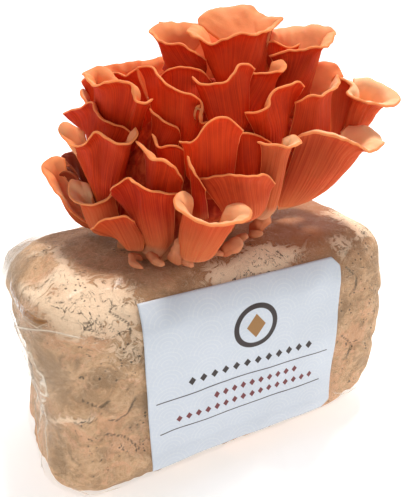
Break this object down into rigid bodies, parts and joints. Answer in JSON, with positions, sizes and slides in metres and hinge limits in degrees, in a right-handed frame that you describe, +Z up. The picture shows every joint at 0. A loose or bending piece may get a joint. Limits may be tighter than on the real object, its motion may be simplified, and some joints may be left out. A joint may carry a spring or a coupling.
{
  "type": "oyster mushroom grow kit",
  "caption": "Bagged block of substrate with a fluted pink oyster mushroom cluster growing from an opening in its top and a plain paper label on its front.",
  "frame": {"origin": "middle of the block's flat underside", "axes": "+Z up, +X along the block's length, the label faces -Y"},
  "size_m": [0.205, 0.1169, 0.2288],
  "materials": {
    "film": "glossy",
    "substrate": "rough",
    "label_paper": "matte",
    "base_flesh": "matte",
    "mushroom_flesh": "matte"
  },
  "bodies": {
    "root": {"grow_bag": "film", "substrate_block": "substrate", "label": "label_paper", "cluster_base": "base_flesh", "mushroom_front_1": "mushroom_flesh", "mushroom_front_2": "mushroom_flesh", "mushroom_front_3": "mushroom_flesh", "mushroom_front_4": "mushroom_flesh", "mushroom_front_5": "mushroom_flesh", "mushroom_front_6": "mushroom_flesh", "mushroom_front_7": "mushroom_flesh", "mushroom_front_8": "mushroom_flesh", "mushroom_front_9": "mushroom_flesh", "mushroom_middle_1": "mushroom_flesh", "mushroom_middle_2": "mushroom_flesh", "mushroom_middle_3": "mushroom_flesh", "mushroom_middle_4": "mushroom_flesh", "mushroom_middle_5": "mushroom_flesh", "mushroom_middle_6": "mushroom_flesh", "mushroom_middle_7": "mushroom_flesh", "mushroom_upper_1": "mushroom_flesh", "mushroom_upper_2": "mushroom_flesh", "mushroom_upper_3": "mushroom_flesh", "mushroom_upper_4": "mushroom_flesh", "mushroom_upper_5": "mushroom_flesh", "mushroom_upper_6": "mushroom_flesh", "mushroom_upper_7": "mushroom_flesh", "mushroom_upper_8": "mushroom_flesh", "mushroom_upper_9": "mushroom_flesh", "mushroom_upper_10": "mushroom_flesh", "mushroom_upper_11": "mushroom_flesh", "mushroom_top_1": "mushroom_flesh", "mushroom_top_2": "mushroom_flesh", "mushroom_top_3": "mushroom_flesh", "mushroom_top_4": "mushroom_flesh", "mushroom_top_5": "mushroom_flesh", "mushroom_top_6": "mushroom_flesh", "mushroom_back_1": "mushroom_flesh", "mushroom_back_2": "mushroom_flesh", "mushroom_back_3": "mushroom_flesh", "mushroom_back_4": "mushroom_flesh", "mushroom_back_5": "mushroom_flesh", "mushroom_back_6": "mushroom_flesh", "mushroom_back_7": "mushroom_flesh", "mushroom_back_8": "mushroom_flesh", "mushroom_back_9": "mushroom_flesh", "mushroom_back_10": "mushroom_flesh", "mushroom_back_11": "mushroom_flesh", "mushroom_back_13": "mushroom_flesh"}
  },
  "joints": []
}
